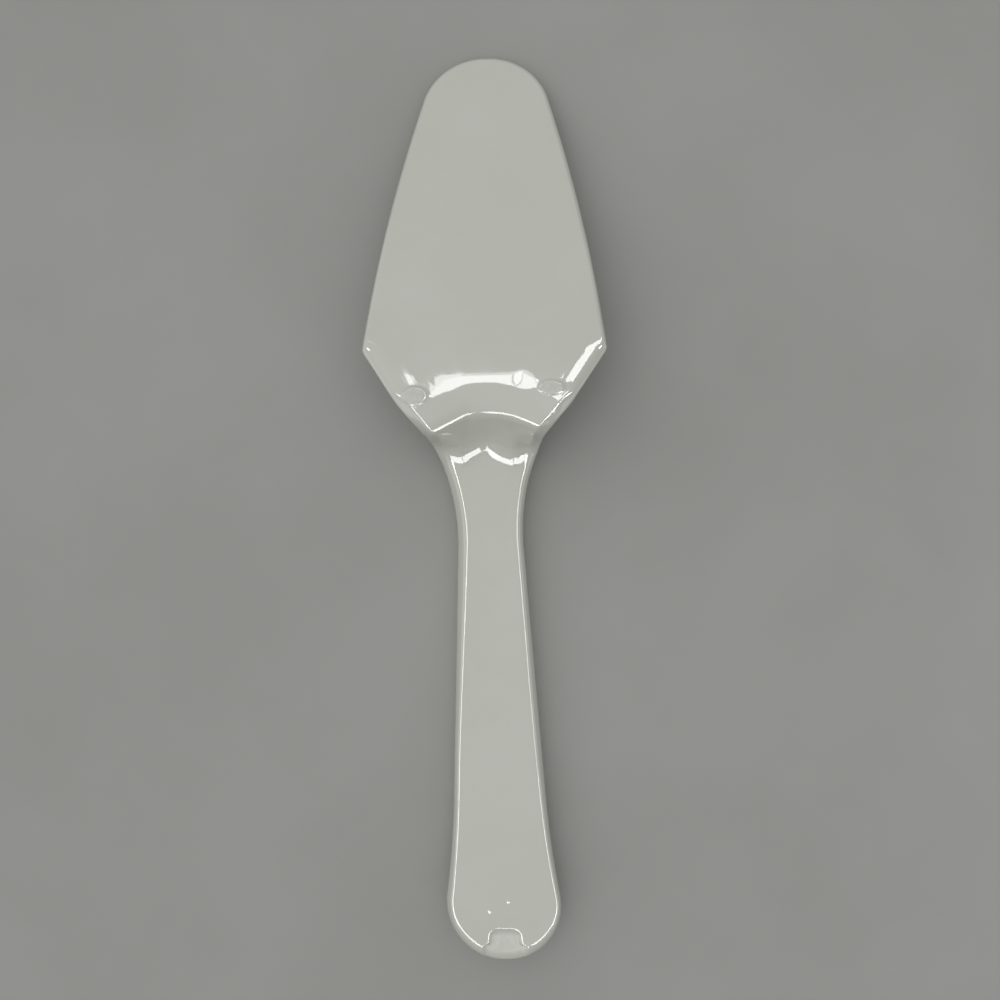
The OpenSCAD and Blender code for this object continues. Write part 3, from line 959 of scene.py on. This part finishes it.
def makeRippleGroup():
    # height of a surface that isn't quite even: long swells and a fine ripple
    vector, number = "NodeSocketVector", "NodeSocketFloat"
    group, given, out = newGroup(
        "unevenHeight",
        [("Vector", vector, None), ("Long Scale", number, 60.0), ("Fine Scale", number, 400.0),
         ("Fine Share", number, 0.1)],
        [("Height", number)])
    long = addNode(group, "ShaderNodeTexNoise")
    long.inputs["Detail"].default_value = 1
    fine = addNode(group, "ShaderNodeTexNoise")
    fine.inputs["Detail"].default_value = 2
    for node, label in ((long, "Long Scale"), (fine, "Fine Scale")):
        group.links.new(given.outputs["Vector"], node.inputs["Vector"])
        group.links.new(given.outputs[label], node.inputs["Scale"])
    part = calculate(group, "MULTIPLY", fine.outputs["Fac"], given.outputs["Fine Share"])
    group.links.new(calculate(group, "ADD", long.outputs["Fac"], part), out.inputs["Height"])
    return group


softClouds = makeCloudGroup()
fineSpecks = makeSpeckGroup()
unevenHeight = makeRippleGroup()


def newMaterial(name):
    material = bpy.data.materials.new(name)
    material.use_nodes = True
    tree = material.node_tree
    place = addNode(tree, "ShaderNodeTexCoord").outputs["Object"]
    return material, tree, tree.nodes["Principled BSDF"], place


def addGroup(tree, group, place, values):
    node = addNode(tree, "ShaderNodeGroup", node_tree=group)
    tree.links.new(place, node.inputs["Vector"])
    for label, value in values.items():
        node.inputs[label].default_value = (*value, 1) if isinstance(value, tuple) else value
    return node


def feedRange(tree, mask, socket, low, high, clamp=True):
    spreadOut = addNode(tree, "ShaderNodeMapRange", clamp=clamp)
    tree.links.new(mask, spreadOut.inputs["Value"])
    spreadOut.inputs["To Min"].default_value = low
    spreadOut.inputs["To Max"].default_value = high
    tree.links.new(spreadOut.outputs["Result"], socket)


def feedBump(tree, height, shader, distance):
    bump = addNode(tree, "ShaderNodeBump")
    bump.inputs["Distance"].default_value = distance
    bump.inputs["Strength"].default_value = 1.0
    tree.links.new(height, bump.inputs["Height"])
    tree.links.new(bump.outputs["Normal"], shader.inputs["Normal"])
    if shader.inputs["Coat Weight"].default_value > 0:
        tree.links.new(bump.outputs["Normal"], shader.inputs["Coat Normal"])


# Glazed bone china: greyish white under a clear gloss glaze

glaze = {
    "clouds": {"Scale": 45.0, "Softness": 0.25,
               "Light": (0.574, 0.584, 0.530), "Dark": (0.548, 0.557, 0.497)},
    "specks": {"Scale": 520.0, "Size": 0.09, "Share": 0.035}, "speck": (0.30, 0.27, 0.20),
    "streaks": {"Scale": 210.0, "Softness": 0.3, "Light": (1.0, 1.0, 1.0), "Dark": (0.0, 0.0, 0.0)},
    "ripple": {"Long Scale": 90.0, "Fine Scale": 420.0, "Fine Share": 0.08}, "swell": 0.00002,
    "roughLow": 0.035, "roughHigh": 0.075, "bareRough": 12,
    "ior": 1.52, "coatRough": 0.03, "coatIor": 1.6,
}


def makeGlaze():
    material, tree, shader, place = newMaterial("glazedChina")
    clouds = addGroup(tree, softClouds, place, glaze["clouds"])
    specks = addGroup(tree, fineSpecks, place, glaze["specks"])
    tree.links.new(mixColours(tree, specks.outputs["Mask"], clouds.outputs["Color"],
                              glaze["speck"]), shader.inputs["Base Color"])
    streaks = addGroup(tree, softClouds, place, glaze["streaks"])
    bared = addNode(tree, "ShaderNodeAttribute", attribute_name="bared").outputs["Fac"]
    dull = calculate(tree, "MULTIPLY", bared, glaze["bareRough"])
    feedRange(tree, calculate(tree, "ADD", streaks.outputs["Mask"], dull), shader.inputs["Roughness"],
              glaze["roughLow"], glaze["roughHigh"], clamp=False)
    tree.links.new(calculate(tree, "SUBTRACT", 1, bared), shader.inputs["Coat Weight"])
    shader.inputs["IOR"].default_value = glaze["ior"]
    shader.inputs["Coat Weight"].default_value = 1.0
    shader.inputs["Coat Roughness"].default_value = glaze["coatRough"]
    shader.inputs["Coat IOR"].default_value = glaze["coatIor"]
    ripple = addGroup(tree, unevenHeight, place, glaze["ripple"])
    feedBump(tree, ripple.outputs["Height"], shader, glaze["swell"])
    return material


# Bare china: matte, ground, a little open in its pores

bareChina = {
    "clouds": {"Scale": 700.0, "Softness": 0.2,
               "Light": (0.645, 0.640, 0.602), "Dark": (0.585, 0.580, 0.543)},
    "pores": {"Scale": 2600.0, "Size": 0.25, "Share": 0.22}, "pore": (0.33, 0.31, 0.27),
    "grain": {"Long Scale": 1500.0, "Fine Scale": 6000.0, "Fine Share": 0.5}, "depth": 0.00002,
    "roughLow": 0.55, "roughHigh": 0.7,
}


def makeBareChina():
    material, tree, shader, place = newMaterial("bareChina")
    bared = addNode(tree, "ShaderNodeAttribute", attribute_name="bared").outputs["Fac"]
    clouds = addGroup(tree, softClouds, place, bareChina["clouds"])
    pores = addGroup(tree, fineSpecks, place, bareChina["pores"])
    ground = mixColours(tree, pores.outputs["Mask"], clouds.outputs["Color"], bareChina["pore"])
    tree.links.new(mixColours(tree, bared, glaze["clouds"]["Light"], ground),
                   shader.inputs["Base Color"])
    feedRange(tree, bared, shader.inputs["Roughness"], bareChina["roughLow"],
              bareChina["roughHigh"])
    grain = addGroup(tree, unevenHeight, place, bareChina["grain"])
    feedBump(tree, grain.outputs["Height"], shader, bareChina["depth"])
    return material


glazedChina = makeGlaze()
bareMaterial = makeBareChina()
for piece in (bladePiece, handlePiece, slipPiece):
    piece.data.materials.append(glazedChina)
for piece in (leftFoot, rightFoot, endRest):
    piece.data.materials.append(bareMaterial)
print("materials made")


# Floor: a plain pale sheet

floorSheet = {
    "half": 1.4, "squares": 8, "roughLow": 0.85, "roughHigh": 0.95, "specular": 0.1,
    "clouds": {"Scale": 9.0, "Softness": 0.3,
               "Light": (0.400, 0.400, 0.388), "Dark": (0.350, 0.350, 0.337)},
}


def makeFloor():
    bm = bmesh.new()
    bmesh.ops.create_grid(bm, x_segments=floorSheet["squares"], y_segments=floorSheet["squares"],
                          size=floorSheet["half"])
    mesh = bpy.data.meshes.new("floor")
    bm.to_mesh(mesh)
    bm.free()
    floor = bpy.data.objects.new("floor", mesh)
    bpy.context.scene.collection.objects.link(floor)
    material, tree, shader, place = newMaterial("paleFloor")
    clouds = addGroup(tree, softClouds, place, floorSheet["clouds"])
    tree.links.new(clouds.outputs["Color"], shader.inputs["Base Color"])
    feedRange(tree, clouds.outputs["Mask"], shader.inputs["Roughness"], floorSheet["roughLow"],
              floorSheet["roughHigh"])
    shader.inputs["Specular IOR Level"].default_value = floorSheet["specular"]
    mesh.materials.append(material)


makeFloor()
print("floor laid")

bpy.context.view_layer.update()
